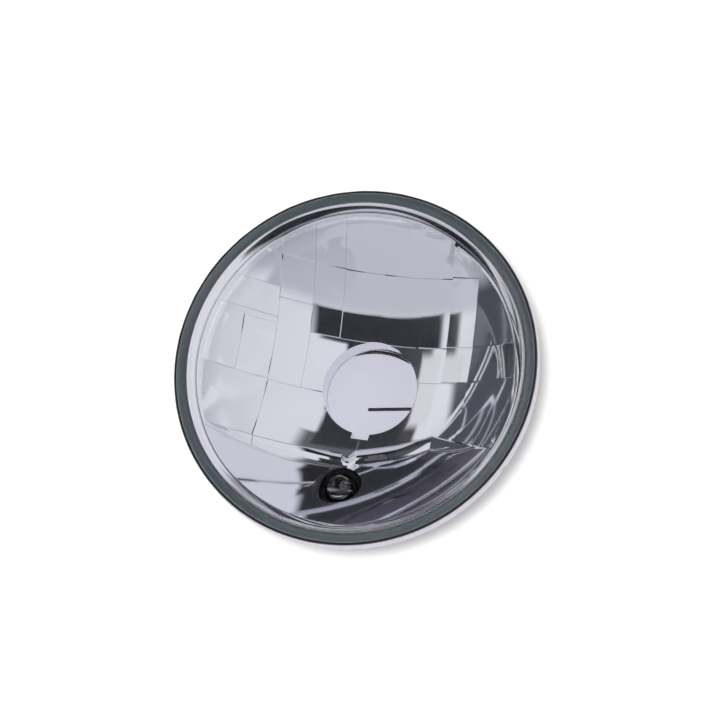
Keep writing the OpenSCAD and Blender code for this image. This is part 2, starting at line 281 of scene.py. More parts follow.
def paint_light_under_glass(material, radius_mm, soft_mm, pale):
    """Paints light on the part of a bead that shows through the glass, nearer the axis than a radius: a
    pale colour there stands in for the light that comes onto it through the glass.
    """
    nodes, links = material.node_tree.nodes, material.node_tree.links
    place = nodes.new("ShaderNodeTexCoord")
    flat = nodes.new("ShaderNodeVectorMath")
    flat.operation = "MULTIPLY"
    flat.inputs[1].default_value = (1, 1, 0)
    length = nodes.new("ShaderNodeVectorMath")
    length.operation = "LENGTH"
    links.new(place.outputs["Object"], flat.inputs[0])
    links.new(flat.outputs["Vector"], length.inputs[0])
    fall = nodes.new("ShaderNodeMapRange")
    fall.inputs["From Min"].default_value = (radius_mm - soft_mm) * MM
    fall.inputs["From Max"].default_value = (radius_mm + soft_mm) * MM
    links.new(length.outputs["Value"], fall.inputs["Value"])
    mix = nodes.new("ShaderNodeMix")
    mix.data_type = "RGBA"
    shader = nodes["Principled BSDF"]
    mix.inputs[MIX_BELOW].default_value = (*pale, 1)
    mix.inputs[MIX_ABOVE].default_value = shader.inputs["Base Color"].default_value
    links.new(fall.outputs["Result"], mix.inputs["Factor"])
    links.new(mix.outputs[MIX_RESULT], shader.inputs["Base Color"])


# %% [markdown]
# ## Finishes
# The mirror is a thin metal film on a smooth moulding, so it is nearly perfect, with a faint
# orange peel that softens the reflections. The back is the bare side of the same moulding,
# sprayed a dull silver. The lens is clear glass. Its green comes from a volume that takes more
# light the thicker the glass is, so the rim is darker than the dome without a second material. Its
# surface reflection is held back by the specular tint, because the photograph shows almost none.

# %% Mirror, shell and glass
mirror_coat = finish("mirror_coat", (0.86, 0.86, 0.90), 0.035, metallic=1.0)
spread_value(mirror_coat, noise(mirror_coat, 60), "Roughness", 0.02, 0.06)
bump(mirror_coat, noise(mirror_coat, 45, detail=1.5), 0.12, 0.05)

shell_back = finish("shell_back", (0.54, 0.51, 0.56), 0.42, metallic=0.25)
spread_colour(shell_back, noise(shell_back, 420, detail=5), (0.50, 0.47, 0.52), (0.58, 0.55, 0.61))
bump(shell_back, noise(shell_back, 900, detail=4), 0.25, 0.05)

GLASS_TINT = 16.0
lens_glass = finish("lens_glass", (0.985, 0.995, 0.99), 0.0, IOR=1.5, Transmission_Weight=1.0,
                    Specular_Tint=(0.35, 0.35, 0.35, 1))
bump(lens_glass, noise(lens_glass, 18, detail=1.0), 0.03, 0.1)
tint = lens_glass.node_tree.nodes.new("ShaderNodeVolumeAbsorption")
tint.inputs["Color"].default_value = (0.52, 0.76, 0.72, 1)
tint.inputs["Density"].default_value = GLASS_TINT
lens_glass.node_tree.links.new(tint.outputs["Volume"],
                               lens_glass.node_tree.nodes["Material Output"].inputs["Volume"])
print("mirror, shell and glass:", mirror_coat.name, shell_back.name, lens_glass.name)

# %% [markdown]
# The bead is black compound. The part of it that is glued to the glass is painted a pale grey-green. That
# is painted light, standing in for the light that comes onto it through the glass. One material does both:
# a mask on the distance from the axis changes the colour where the glass begins. The steels differ in how
# much the noise moves their roughness.

# %% Black, steel and brass
BEAD_SEEN_R = 71.75
BEAD_SOFT = 0.1
sealant = finish("sealant", (0.012, 0.012, 0.014), 0.35)
spread_value(sealant, noise(sealant, 300), "Roughness", 0.25, 0.55)
bump(sealant, noise(sealant, 260, detail=4), 0.5, 0.3)
# Painted light: the black bead is coloured pale grey-green under the glass, in place of the light that
# comes through the glass.
paint_light_under_glass(sealant, BEAD_SEEN_R, BEAD_SOFT, (0.68, 0.80, 0.84))

plated_steel = finish("plated_steel", (0.62, 0.63, 0.65), 0.3, metallic=1.0)
spread_colour(plated_steel, noise(plated_steel, 120, detail=4), (0.50, 0.50, 0.52), (0.68, 0.69, 0.70))
spread_value(plated_steel, noise(plated_steel, 400), "Roughness", 0.22, 0.42)
bump(plated_steel, noise(plated_steel, 700, stretch=(1, 0.15, 1)), 0.15, 0.03)

rivet_steel = finish("rivet_steel", (0.58, 0.58, 0.60), 0.28, metallic=1.0)
spread_value(rivet_steel, noise(rivet_steel, 500), "Roughness", 0.2, 0.45)

spring_wire = finish("spring_wire", (0.20, 0.19, 0.19), 0.3, metallic=0.9)
spread_colour(spring_wire, noise(spring_wire, 300), (0.13, 0.12, 0.12), (0.26, 0.25, 0.25))
bump(spring_wire, noise(spring_wire, 900, stretch=(0.2, 1, 1)), 0.1, 0.03)

grommet_rubber = finish("grommet_rubber", (0.02, 0.02, 0.022), 0.55)
bump(grommet_rubber, noise(grommet_rubber, 600, detail=4), 0.2, 0.05)

holder_plastic = finish("holder_plastic", (0.035, 0.035, 0.038), 0.4)
bump(holder_plastic, noise(holder_plastic, 500, detail=4), 0.15, 0.04)

bulb_glass = finish("bulb_glass", (1, 1, 1), 0.0, IOR=1.5, Transmission_Weight=1.0)
bump(bulb_glass, noise(bulb_glass, 90, detail=1.0), 0.08, 0.2)

bulb_wire = finish("bulb_wire", (0.45, 0.45, 0.47), 0.35, metallic=1.0)
spread_value(bulb_wire, noise(bulb_wire, 900), "Roughness", 0.25, 0.5)

terminal_brass = finish("terminal_brass", (0.75, 0.68, 0.45), 0.3, metallic=1.0)
spread_colour(terminal_brass, noise(terminal_brass, 400), (0.60, 0.52, 0.32), (0.78, 0.72, 0.50))
print("finishes made:", len(bpy.data.materials))

# %% [markdown]
# The measured pieces keep their meshes and only get finishes. The record says which finish each
# one has, so a loop over it can't leave one out.

# %% Give the measured pieces their finishes
finishes = {"plated_steel": plated_steel, "rivet_steel": rivet_steel, "spring_wire": spring_wire,
            "grommet_rubber": grommet_rubber, "holder_plastic": holder_plastic,
            "bulb_wire": bulb_wire, "terminal_brass": terminal_brass, "lens_glass": lens_glass,
            "sealant": sealant, "mirror_coat": mirror_coat, "bulb_glass": bulb_glass}
for subpart in frame["record"]["subparts"]:
    node = frame["nodes"][subpart["node"]]
    for slot in node.material_slots:
        slot.material = finishes[subpart["material_slot"]]

# %% [markdown]
# ## The reflector
# On the real lamp this is one moulding. Its mirror is a parabola cut into facets by upright and
# level lines. Each facet starts a little proud on its inner side and comes back to the curve at
# its outer side, so each line is a small step. Below the hole a ledge drops to a deeper mirror
# that holds the pilot lamp. It is made the way a mould is: the full turned body first, then the
# air in front of the mirror is taken out, as a block whose foot has the facets.

# %% Lines and heights of the mirror
EDGE = 66.0
GAP = 0.06
FACET_RISE = 0.9
STEEP_RISE = 2.2
FADE_WIDTH = 9.0
LEDGE_SLOPE = 5.0
LEDGE_WALL = 1.5
X1, X2, X3, X4, X5, X6, X7, X8 = col_lines = [-50.8, -39.2, -27.0, -15.5, 0.2, 16.8, 29.5, 41.0]
Y1, Y2, Y3, Y4, Y5, Y6, Y7 = row_lines = [-3.8, 4.8, 18.5, 20.8, 28.5, 32.0, 43.5]
ledge_points = [(-EDGE, -29.0), (-5.5, -28.6), (-2.6, -30.6), (X5, -26.4),
                (X6, -22.0), (X7, -17.5), (EDGE, -27.0)]


def columns_at(y):
    """The column lines that a height on the mirror has."""
    if y > Y7:
        return [-EDGE, X3, X4, X5, X6, X7, X8, EDGE]
    if y > Y3:
        return [-EDGE, X2, X3, X4, X5, X6, X7, X8, EDGE]
    if y > Y2:
        return [-EDGE, X1, X2, X3, X5, X7, X8, EDGE]
    if y > Y1:
        return [-EDGE, X1, X2, X3, X5, X7, EDGE]
    return [-EDGE, X2, X5, X7, EDGE]


def rows_at(x):
    """The row lines that a column on the mirror has."""
    if x < X2:
        return [-EDGE, Y1, Y4, Y6, EDGE]
    if x < X3:
        return [-EDGE, Y1, Y5, Y7, EDGE]
    if x < X5:
        return [-EDGE, Y1, Y3, Y7, EDGE]
    if x < X8:
        return [-EDGE, Y2, Y3, Y7, EDGE]
    return [-EDGE, Y2, Y3, EDGE]


def share(lines, place):
    """How far through its cell a place is, from the cell's low line to its high one."""
    low = max(line for line in lines[:-1] if line <= place)
    high = lines[lines.index(low) + 1]
    return (place - low) / (high - low)


def between(points, x):
    """Straight-line lookup in a list of (x, value) points."""
    for (x0, v0), (x1, v1) in zip(points, points[1:]):
        if x <= x1:
            return v0 + (v1 - v0) * (x - x0) / (x1 - x0)
    return points[-1][1]


def upper_mirror(x, y):
    """Height of the mirror above the ledge: the parabola, and the facet's own rise on it."""
    across = share(columns_at(y), x)
    steep = X7 < x < X8 and y > Y2
    rise = FACET_RISE * (1 - share(rows_at(x), y))
    rise += FACET_RISE * across if x < X5 else (STEEP_RISE if steep else FACET_RISE) * (1 - across)
    fade = min(1.0, max(0.0, (BOWL_R - math.hypot(x, y)) / FADE_WIDTH))
    return LIP_Z + (x * x + y * y - BULB_R ** 2) / (4 * FOCAL) + rise * fade


def lower_mirror(x, y):
    """Height of the deeper mirror below the ledge, a parabola that ends at the same brim."""
    return BOWL_Z - (BOWL_R ** 2 - x * x - y * y) / (4 * FOCAL_LOW)


def mirror_height(x, y, above_ledge):
    """Height of the mirror anywhere. Below the ledge line it slopes down from a low upright wall."""
    if above_ledge:
        return upper_mirror(x, y)
    ledge_y = between(ledge_points, x)
    down = min(1.0, max(0.0, (ledge_y - y) / LEDGE_SLOPE))
    step = max(lower_mirror(x, y), upper_mirror(x, ledge_y + GAP) - LEDGE_WALL)
    return (1 - down) * step + down * lower_mirror(x, y)


print("the mirror at the hole's upper edge is at", round(upper_mirror(0, BULB_R), 2), "mm")

# %% [markdown]
# The air's foot is a grid whose lines follow the facets. Each facet line is there twice, a hair
# apart, so the step between two facets is nearly upright and stays crisp. A displaced even grid
# would cut across the steps and show saw teeth in the reflections. Below the first level line the
# rows bend, so that one of them runs along the ledge.

# %% Grid lines of the mirror
GRID_STEP = 1.1
ROWS_TO_LEDGE = 22
ROWS_BELOW = 40


def filled(start, end):
    """Evenly spaced places from start to end, about a grid step apart."""
    count = max(1, round((end - start) / GRID_STEP))
    return [start + (end - start) * i / count for i in range(count + 1)]


def doubled(start, lines, end):
    """Grid places with each facet line doubled, so that its wall stands almost upright."""
    places = []
    low = start
    for line in lines:
        places += filled(low, line - GAP)
        low = line + GAP
    return places + filled(low, end)


grid_x = doubled(-EDGE, col_lines, EDGE)


def grid_y(x):
    """Rows of the grid at x, each with whether it is above the ledge."""
    ledge_y = between(ledge_points, x)
    below = [(-EDGE + (ledge_y - GAP + EDGE) * i / ROWS_BELOW, False) for i in range(ROWS_BELOW + 1)]
    middle = [(ledge_y + GAP + (Y1 - GAP - ledge_y - GAP) * i / ROWS_TO_LEDGE, True)
              for i in range(ROWS_TO_LEDGE + 1)]
    return below + middle + [(y, True) for y in doubled(Y1 + GAP, row_lines[1:], EDGE)]


row_count = len(grid_y(0.0))
print("mirror grid", len(grid_x), "by", row_count)

# %% [markdown]
# create_grid gives an even grid from -0.5 to 0.5. Each point's place in it says which column and
# row it belongs to, and it moves to that crossing at the mirror's height. Extruding the whole sheet
# upwards then closes it to the block of air.

# %% Air in front of the mirror
AIR_TOP = 80.0
air = bmesh.new()
bmesh.ops.create_grid(air, x_segments=len(grid_x) - 1, y_segments=row_count - 1, size=0.5)
for vert in air.verts:
    x = grid_x[round((vert.co.x + 0.5) * (len(grid_x) - 1))]
    y, above = grid_y(x)[round((vert.co.y + 0.5) * (row_count - 1))]
    vert.co = Vector((x, y, mirror_height(x, y, above))) * MM
raised = bmesh.ops.extrude_face_region(air, geom=air.faces[:], use_keep_orig=True)
for vert in [item for item in raised["geom"] if isinstance(item, bmesh.types.BMVert)]:
    vert.co.z = AIR_TOP * MM
print("open edges of the air:", sum(not edge.is_manifold for edge in air.edges))
mirror_air = new_piece("mirror_air", air, [mirror_coat])

# %% [markdown]
# The body is closed and still full where the bowl will be. Its rim channel, the brim and the
# collar have small rounds, because the moulding's edges are never knife sharp. They are points of
# the outline, which is cheaper than a bevel after the cuts. Between the bowl and the channel lies a
# mirrored land, which leans in and shows as a bright ring with one fine line.

# %% Turned body of the reflector
BRIM_Z = BOWL_Z + 0.9
BRIM_R = 0.35
LAND_TILT = 25
LAND_IN = 62.0
GROOVE_LINE_R = 63.9
GROOVE_LINE_W = 0.42
COLLAR_ROUND = 0.5
STOP_BEAD = 1.0
STOP_CHAMFER = 0.2
RIM_ROUND = 0.3
RIM_LIP_Z = RIM_Z - 0.2
BACK_BLEND = 0.6
RIM_FOOT = 1.6
BACK_STEPS = 24


def back_height(r):
    """Height of the shell's back, which follows the deeper mirror at the wall's thickness."""
    return BOWL_Z - BOWL_T - (BOWL_R ** 2 - r * r) / (4 * FOCAL_LOW)


brim_round = arc(GROOVE_IN - BRIM_R, BRIM_Z - BRIM_R, BRIM_R, 0, 90 + LAND_TILT, 5)
land_r, land_z = brim_round[-1]
land_slope = math.tan(math.radians(LAND_TILT))
land_foot = land_z - (land_r - LAND_IN) * land_slope
line_groove = arc(GROOVE_LINE_R, land_z - (land_r - GROOVE_LINE_R) * land_slope, GROOVE_LINE_W,
                  LAND_TILT, LAND_TILT - 180, 12)
back_radii = [COLLAR_R + (BOWL_R + BACK_BLEND - COLLAR_R) * i / BACK_STEPS for i in range(BACK_STEPS + 1)]
body_outline = (
    [(0, SEAT_Z), (COLLAR_BORE_R, SEAT_Z), (COLLAR_BORE_R, COLLAR_ROUND)]
    + arc(COLLAR_BORE_R + COLLAR_ROUND, COLLAR_ROUND, COLLAR_ROUND, 180, 270, 4)
    + arc(COLLAR_R - COLLAR_ROUND, COLLAR_ROUND, COLLAR_ROUND, 270, 360, 4)
    + [(COLLAR_R, BOOT_STOP), (COLLAR_R + STOP_BEAD - STOP_CHAMFER, BOOT_STOP),
       (COLLAR_R + STOP_BEAD, BOOT_STOP + STOP_CHAMFER), (COLLAR_R + STOP_BEAD, BOOT_STOP + STOP_BEAD),
       (COLLAR_R, BOOT_STOP + 2 * STOP_BEAD)]
    + [(r, back_height(r)) for r in back_radii]
    + [(BOWL_R + RIM_FOOT, RIM_FLOOR), (RIM_R - RIM_ROUND, RIM_FLOOR)]
    + arc(RIM_R - RIM_ROUND, RIM_FLOOR + RIM_ROUND, RIM_ROUND, 270, 360, 4)
    + arc(RIM_R - RIM_ROUND, RIM_LIP_Z - RIM_ROUND, RIM_ROUND, 0, 90, 4)
    + [(RIM_R - RIM_WALL, RIM_LIP_Z), (RIM_R - RIM_WALL, GROOVE_FLOOR), (GROOVE_IN, GROOVE_FLOOR)]
    + brim_round + line_groove + [(LAND_IN, land_foot), (0, land_foot)])
reflector = new_piece("mirror_shell", turned(body_outline), [shell_back, mirror_coat])

# %% [markdown]
# The pilot lamp's boss is added before anything is taken out, so that the mirror and the holes cut
# it too. Then the bulb hole with its key notch, the pilot hole, the small notch in the rim's lower
# right and the air in front of the mirror are taken out, one boolean each. All of them are closed
# solids, and the holes reach well past the walls, so no two faces coincide.

# %% Holes through the reflector
HOLE_LOW = 10
HOLE_HIGH = 90
PILOT_HIGH = 60
BOSS_WALL = 1.5
RIM_NOTCH_W = 2.5
RIM_NOTCH_TURN = -26
RIM_NOTCH_R = RIM_R - 0.8


def drill(radius, low, high, centre=(0, 0), steps=192):
    """A round rod between two heights, upright on a centre."""
    outline = [(0, low), (radius, low), (radius, high), (0, high)]
    return new_piece("drill", turned(outline, steps, centre), [shell_back])


def block(low, high, turn_degrees=0):
    """A box between two corners in millimetres, turned about the lamp's axis."""
    shape = bmesh.new()
    bmesh.ops.create_cube(shape, size=1)
    size = Vector(high) - Vector(low)
    middle = (Vector(high) + Vector(low)) / 2
    bmesh.ops.scale(shape, vec=size * MM, verts=shape.verts)
    bmesh.ops.translate(shape, vec=middle * MM, verts=shape.verts)
    bmesh.ops.rotate(shape, cent=(0, 0, 0), matrix=Matrix.Rotation(math.radians(turn_degrees), 3, "Z"),
                     verts=shape.verts)
    return new_piece("block", shape, [shell_back])


join(reflector, drill(PILOT_R + BOSS_WALL, BOSS_FOOT, RIM_FLOOR, PILOT, 96))
cut(reflector,
    drill(BULB_R, HOLE_LOW, HOLE_HIGH),
    block((-KEY_W / 2, -BULB_R - KEY_DEPTH, HOLE_LOW), (KEY_W / 2, -BULB_R + 2, HOLE_HIGH)),
    drill(PILOT_R, BOSS_FOOT - 1, PILOT_HIGH, PILOT, 96),
    block((RIM_NOTCH_R, -RIM_NOTCH_W / 2, RIM_FLOOR - 1), (RIM_R + 2, RIM_NOTCH_W / 2, RIM_FLOOR + 2),
          RIM_NOTCH_TURN),
    mirror_air)
print("reflector", len(reflector.data.polygons), "faces")

# %% [markdown]
# The coat is laid on from the front, so it covers what the front can see: the bowl, the land and
# the neck of the hole. Each face is asked where its middle lies. Painting a mask would need a
# texture, and two materials on one piece are simpler and exact at the edges.

# %% Mirror coat inside, dull silver outside
COAT_MARGIN = 0.1
COAT_ABOVE_BACK = 0.7
NECK_MARGIN = 0.2


def is_mirror(face):
    """Whether a face of the reflector lies on its front or in its neck."""
    centre = face.center / MM
    r = math.hypot(centre.x, centre.y)
    coat_low = back_height(min(max(r, COLLAR_R), BOWL_R)) + COAT_ABOVE_BACK
    inside = r < GROOVE_IN - COAT_MARGIN and centre.z > coat_low
    neck = r < BULB_R + KEY_DEPTH + NECK_MARGIN and centre.z > SEAT_Z
    return inside or neck


for face in reflector.data.polygons:
    face.material_index = 1 if is_mirror(face) else 0
print("mirror faces:", sum(face.material_index for face in reflector.data.polygons))
shade(reflector, 20)
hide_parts("reflector")
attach(reflector, "lamp")

# %% [markdown]
# ## The lens
# The glass is pressed: a shallow dome on a stepped rim, with a skirt that stands in the channel
# of the reflector. Its outline is worked out from the dome's height and the two edge radii: both
# faces of the dome are parts of balls with one centre, so the glass is equally thick all over. The
# closed outline gives the glass a real inner face, which refraction needs.

# %% Lens
DOME_TOP = 74.5
DOME_R = 66.4
DOME_FOOT = RIM_Z + 3.4
GLASS_T = 3.2
sag = DOME_TOP - DOME_FOOT
ball = (DOME_R ** 2 + sag ** 2) / (2 * sag)
ball_in = ball - GLASS_T
half = math.asin(DOME_R / ball)
half_in = math.asin(SKIRT_IN / ball_in)
DOME_STEPS = 48


def dome(radius, top, edge_angle):
    """Points of a dome's outline, from the axis to its edge."""
    angles = [edge_angle * i / DOME_STEPS for i in range(DOME_STEPS + 1)]
    return [(radius * math.sin(a), top - radius * (1 - math.cos(a))) for a in angles]


outer = dome(ball, DOME_TOP, half)
inner = dome(ball_in, DOME_TOP - GLASS_T, half_in)[::-1]
rim = [(DOME_R + 0.5, RIM_Z + 2.4), (DOME_R + 1.3, RIM_Z + 1.7), (GLASS_R - 1.2, RIM_Z + 0.9),
       (GLASS_R, RIM_Z + 0.2), (GLASS_R, GROOVE_FLOOR + 0.6), (GLASS_R - 0.6, SKIRT_FOOT - 0.2),
       (SKIRT_IN + 0.6, SKIRT_FOOT - 0.2), (SKIRT_IN, SKIRT_FOOT + 0.4)]
lens = new_piece("glass_lens", turned(outer + rim + inner, 256), [lens_glass], smooth_angle=50)
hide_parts("lens")
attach(lens, "lamp")

# %% [markdown]
# ## The sealing bead
# Black compound fills the channel round the skirt and wells up over the rim's edge. A gun laid
# it, so its outer edge wanders a little. The spun shape gets that wander from a few sine waves.
# It wets the glass: its faces lie a hair inside the glass, so that no thin air film shows.

# %% Sealing bead
BOND = 0.03
BEAD_ROUND = 0.45
bead_outline = (
    [(GROOVE_IN, GROOVE_FLOOR), (RIM_R - RIM_WALL, GROOVE_FLOOR), (RIM_R - RIM_WALL, RIM_LIP_Z),
     (RIM_R - 0.15, RIM_LIP_Z)]
    + arc(RIM_R - 0.1 - BEAD_ROUND, RIM_Z - 0.05, BEAD_ROUND, 0, 90, 6)
    + [(GLASS_R - 0.1, RIM_Z + 0.36), (GLASS_R - BOND, RIM_Z + 0.2), (GLASS_R - BOND, GROOVE_FLOOR + 0.6),
       (GLASS_R - 0.6 - BOND, SKIRT_FOOT - 0.2 + BOND), (SKIRT_IN + 0.6 + BOND, SKIRT_FOOT - 0.2 + BOND),
       (SKIRT_IN + BOND, SKIRT_FOOT + 0.4), (GROOVE_IN, SKIRT_FOOT + 0.4)])
bead_shape = turned(bead_outline, 720)
WANDER = 0.16
WAVES = 14
random.seed(7)
waves = [(random.randint(5, 90), random.uniform(0, math.tau), random.uniform(0.3, 1))
         for _ in range(WAVES)]
for vert in bead_shape.verts:
    r = math.hypot(vert.co.x, vert.co.y) / MM
    if vert.co.z / MM > RIM_Z - 0.1 and r > GLASS_R + 0.3:
        angle = math.atan2(vert.co.y, vert.co.x)
        wave = sum(size * math.sin(count * angle + start) for count, start, size in waves) / 4
        pull = 1 - WANDER * (0.5 + 0.5 * max(-1, min(1, wave))) / r
        vert.co.x *= pull
        vert.co.y *= pull
bead = new_piece("sealing_bead", bead_shape, [sealant], smooth_angle=50)
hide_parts("lens_sealant")
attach(bead, "lamp")

# %% [markdown]
# ## The wire clip
# One dark spring wire is bent flat to a hoop that crosses the back of the bulb. Its stub turns in
# the strap at the left, the sharp bend at the right goes under the catch, and the long tail is
# the finger hold. Rings of points stand along the bent path and are bridged to a round wire. A
# bevelled curve would do as well, but here each bend has the radius of the tool that made it.
# The hinge is at the stub, and the whole wire rides the clip's body round it.

# %% Wire clip
WIRE_R = 0.69
WIRE_SIDES = 20
TAIL_CAP = 0.6
clip_path = [(HINGE_X, -12.6), (HINGE_X, -3.2), (-15, 15.3), (-0.7, 20.2), (13.6, 15.3),
             (26.2, 0.2), (24.2, -2.2), (14.5, -2.9), (-1.8, -5.3)]
clip_bends = [4, 5, 27, 5, 1.4, 1.8, 8]


def bent(path, radii, step_degrees=5):
    """Stations (place, direction) along a flat path whose corners are bent to the radii."""
    points = [Vector(point) for point in path]
    stations = [(points[0], (points[1] - points[0]).normalized())]
    for before, corner, after, radius in zip(points, points[1:], points[2:], radii):
        come, leave = (corner - before).normalized(), (after - corner).normalized()
        swing = math.atan2(come.x * leave.y - come.y * leave.x, come.dot(leave))
        side = Vector((-come.y, come.x)) * math.copysign(radius, swing)
        middle = corner - come * radius * math.tan(abs(swing) / 2) + side
        count = math.ceil(abs(math.degrees(swing)) / step_degrees)
        for i in range(count + 1):
            spun = Matrix.Rotation(swing * i / count, 2)
            stations.append((middle - spun @ side, spun @ come))
    return stations + [(points[-1], (points[-1] - points[-2]).normalized())]


wire_rings = [(place, along, WIRE_R) for place, along in bent(clip_path, clip_bends)]
tail_end, tail_way, _ = wire_rings[-1]
for lean in [math.radians(degrees) for degrees in (30, 55, 75)]:
    cap_place = tail_end + tail_way * WIRE_R * math.sin(lean) * TAIL_CAP
    wire_rings.append((cap_place, tail_way, WIRE_R * math.cos(lean)))
wire_shape = bmesh.new()
loops = []
for place, along, radius in wire_rings:
    stand = Matrix(((-along.y, 0, along.x), (along.x, 0, along.y), (0, 1, 0))).to_4x4()
    move = Matrix.Translation(Vector((place.x, place.y, WIRE_Z)) * MM)
    ring = bmesh.ops.create_circle(wire_shape, segments=WIRE_SIDES, radius=radius * MM, matrix=move @ stand)
    loops.append(list({edge for vert in ring["verts"] for edge in vert.link_edges}))
for first, second in zip(loops, loops[1:]):
    bmesh.ops.bridge_loops(wire_shape, edges=first + second)
bmesh.ops.contextual_create(wire_shape, geom=loops[0])
bmesh.ops.contextual_create(wire_shape, geom=loops[-1])
print("open edges of the wire:", sum(not edge.is_manifold for edge in wire_shape.edges))
clip = new_piece("wire_clip", wire_shape, [spring_wire])

# %% [markdown]
# The stub's end is pressed to a small head, which keeps it from sliding out of its knuckle. It is
# spun upright, laid along the hinge and joined to the wire.

# %% Head of the clip's stub
HEAD_Y = -12.9
head_shape = turned([(0, -0.4), (0.9, -0.4), (1.09, -0.22), (1.09, 0.22), (0.9, 0.4), (0, 0.4)], 40)
bmesh.ops.rotate(head_shape, cent=(0, 0, 0), matrix=Matrix.Rotation(math.radians(90), 3, "X"),
                 verts=head_shape.verts)
bmesh.ops.translate(head_shape, vec=Vector((HINGE_X, HEAD_Y, WIRE_Z)) * MM, verts=head_shape.verts)
join(clip, new_piece("wire_head", head_shape, [spring_wire]))
shade(clip, 40)
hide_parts("bulb_clip")
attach(clip, "clip")

# %% [markdown]
# ## The pilot lamp
# The little bulb is blown glass on a flat foot. It sits in a black rubber grommet, whose lip
# shows through the mirror's round hole. Both are turned. The bulb's outline goes out along the
# outer face and back along the inner one, so the glass is a thin wall and doesn't magnify like a
# solid ball. Its wires are measured pieces and show through it.

# %% Pilot bulb and grommet
PILOT_GLASS_R = 4.95
PILOT_WALL = 0.7
PILOT_DOME_Z = 33.05
PILOT_FOOT_Z = 16
PILOT_FOOT_R = 1.4
PILOT_FLOOR_Z = 19
pilot_in = PILOT_GLASS_R - PILOT_WALL
pilot_outline = ([(0, PILOT_FOOT_Z), (PILOT_GLASS_R - 1.2, PILOT_FOOT_Z)]
                 + arc(PILOT_GLASS_R - PILOT_FOOT_R, PILOT_FOOT_Z + PILOT_FOOT_R, PILOT_FOOT_R, 290, 360, 6)
                 + arc(0, PILOT_DOME_Z, PILOT_GLASS_R, 0, 90, 24)
                 + arc(0, PILOT_DOME_Z, pilot_in, 90, 0, 24)
                 + [(pilot_in, PILOT_FLOOR_Z + 0.4), (pilot_in - 0.4, PILOT_FLOOR_Z), (0, PILOT_FLOOR_Z)])
pilot_bulb = new_piece("pilot_glass", turned(pilot_outline, 96, PILOT), [bulb_glass])
foot_low, foot_high = PILOT + Vector((-4.4, -1.2, 12)), PILOT + Vector((4.4, 1.2, 17))
join(pilot_bulb, block(foot_low, foot_high))
pilot_bulb.data.materials.clear()
pilot_bulb.data.materials.append(bulb_glass)
shade(pilot_bulb, 40)
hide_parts("pilot_bulb")
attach(pilot_bulb, "lamp")

GROMMET_IN = 6.5
GROMMET_TOP = 29.6
GROMMET_GAP = 0.02
LIP_ROUND = 0.5
TOP_ROUND = 0.6
BORE_ROUND = 0.3
lip_r = PILOT_R + LIP_ROUND
grommet_outline = ([(GROMMET_IN, BOSS_FOOT - 2.5)]
                   + arc(lip_r - LIP_ROUND, BOSS_FOOT - 2, LIP_ROUND, 270, 360, 6)
                   + [(lip_r, BOSS_FOOT), (PILOT_R - GROMMET_GAP, BOSS_FOOT)]
                   + arc(PILOT_R - GROMMET_GAP - TOP_ROUND, GROMMET_TOP - TOP_ROUND, TOP_ROUND, 0, 90, 8)
                   + arc(GROMMET_IN + BORE_ROUND, GROMMET_TOP - BORE_ROUND, BORE_ROUND, 90, 180, 5))
grommet = new_piece("rubber_grommet", turned(grommet_outline, 96, PILOT), [grommet_rubber], smooth_angle=40)
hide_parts("pilot_grommet")
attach(grommet, "lamp")

# %% [markdown]
# ## Table and light
# The photograph has a pure white ground and a soft shadow close along the lower right edge. So
# the key light stands near the camera, three degrees up and four to the left, and is as wide as
# six degrees. It stays out of the mirror and the glass, where it would show as a hard spot.

# %% Key light
KEY_UP = 3.2
KEY_LEFT = 4.0
KEY_ENERGY = 2.1
KEY_WIDTH = 6
to_key = (to_camera - picture_right * math.tan(math.radians(KEY_LEFT))
          - picture_down * math.tan(math.radians(KEY_UP))).normalized()
key_data = bpy.data.lights.new("key", "SUN")
key_data.energy = KEY_ENERGY
key_data.angle = math.radians(KEY_WIDTH)
key = bpy.data.objects.new("key", key_data)
key.rotation_euler = to_key.to_track_quat("Z", "Y").to_euler()
key.visible_glossy = False
key.visible_transmission = False
bpy.context.scene.collection.objects.link(key)
print("key light", round(math.degrees(math.asin(to_key.z)), 1), "degrees up")

# %% [markdown]
# The table is matt white. To the camera it gives off a little light of its own, so that the open
# ground is pure white and the shadow still shows on it. Through the glass and in the mirror it
# gives off more, because there the lamp's own shadow would make the bulb hole too dark.

# %% Floor
FLOOR_HALF = 4
FLOOR_ALBEDO = 0.9
FLOOR_LIFT = 0.16
HOLE_LIFT = (0.58, 0.56, 0.66)
floor_shape = bmesh.new()
bmesh.ops.create_grid(floor_shape, x_segments=1, y_segments=1, size=FLOOR_HALF)
table_white = bpy.data.materials.new("table_white")
table_white.use_nodes = True
nodes, links = table_white.node_tree.nodes, table_white.node_tree.links
nodes.remove(nodes["Principled BSDF"])
matt = nodes.new("ShaderNodeBsdfDiffuse")
matt.inputs["Color"].default_value = (FLOOR_ALBEDO, FLOOR_ALBEDO, FLOOR_ALBEDO, 1)
lift = nodes.new("ShaderNodeEmission")
lift.inputs["Color"].default_value = (FLOOR_LIFT, FLOOR_LIFT, FLOOR_LIFT, 1)
through = nodes.new("ShaderNodeEmission")
through.inputs["Color"].default_value = (*HOLE_LIFT, 1)
path = nodes.new("ShaderNodeLightPath")
seen = nodes.new("ShaderNodeMath")
seen.operation = "MAXIMUM"
links.new(path.outputs["Is Transmission Ray"], seen.inputs[0])
links.new(path.outputs["Is Glossy Ray"], seen.inputs[1])
links.new(seen.outputs[0], through.inputs["Strength"])
links.new(path.outputs["Is Camera Ray"], lift.inputs["Strength"])
surface = matt.outputs[0]
for extra in (lift, through):
    both = nodes.new("ShaderNodeAddShader")
    links.new(surface, both.inputs[0])
    links.new(extra.outputs[0], both.inputs[1])
    surface = both.outputs[0]
links.new(surface, nodes["Material Output"].inputs["Surface"])
floor = new_piece("table", floor_shape, [table_white])

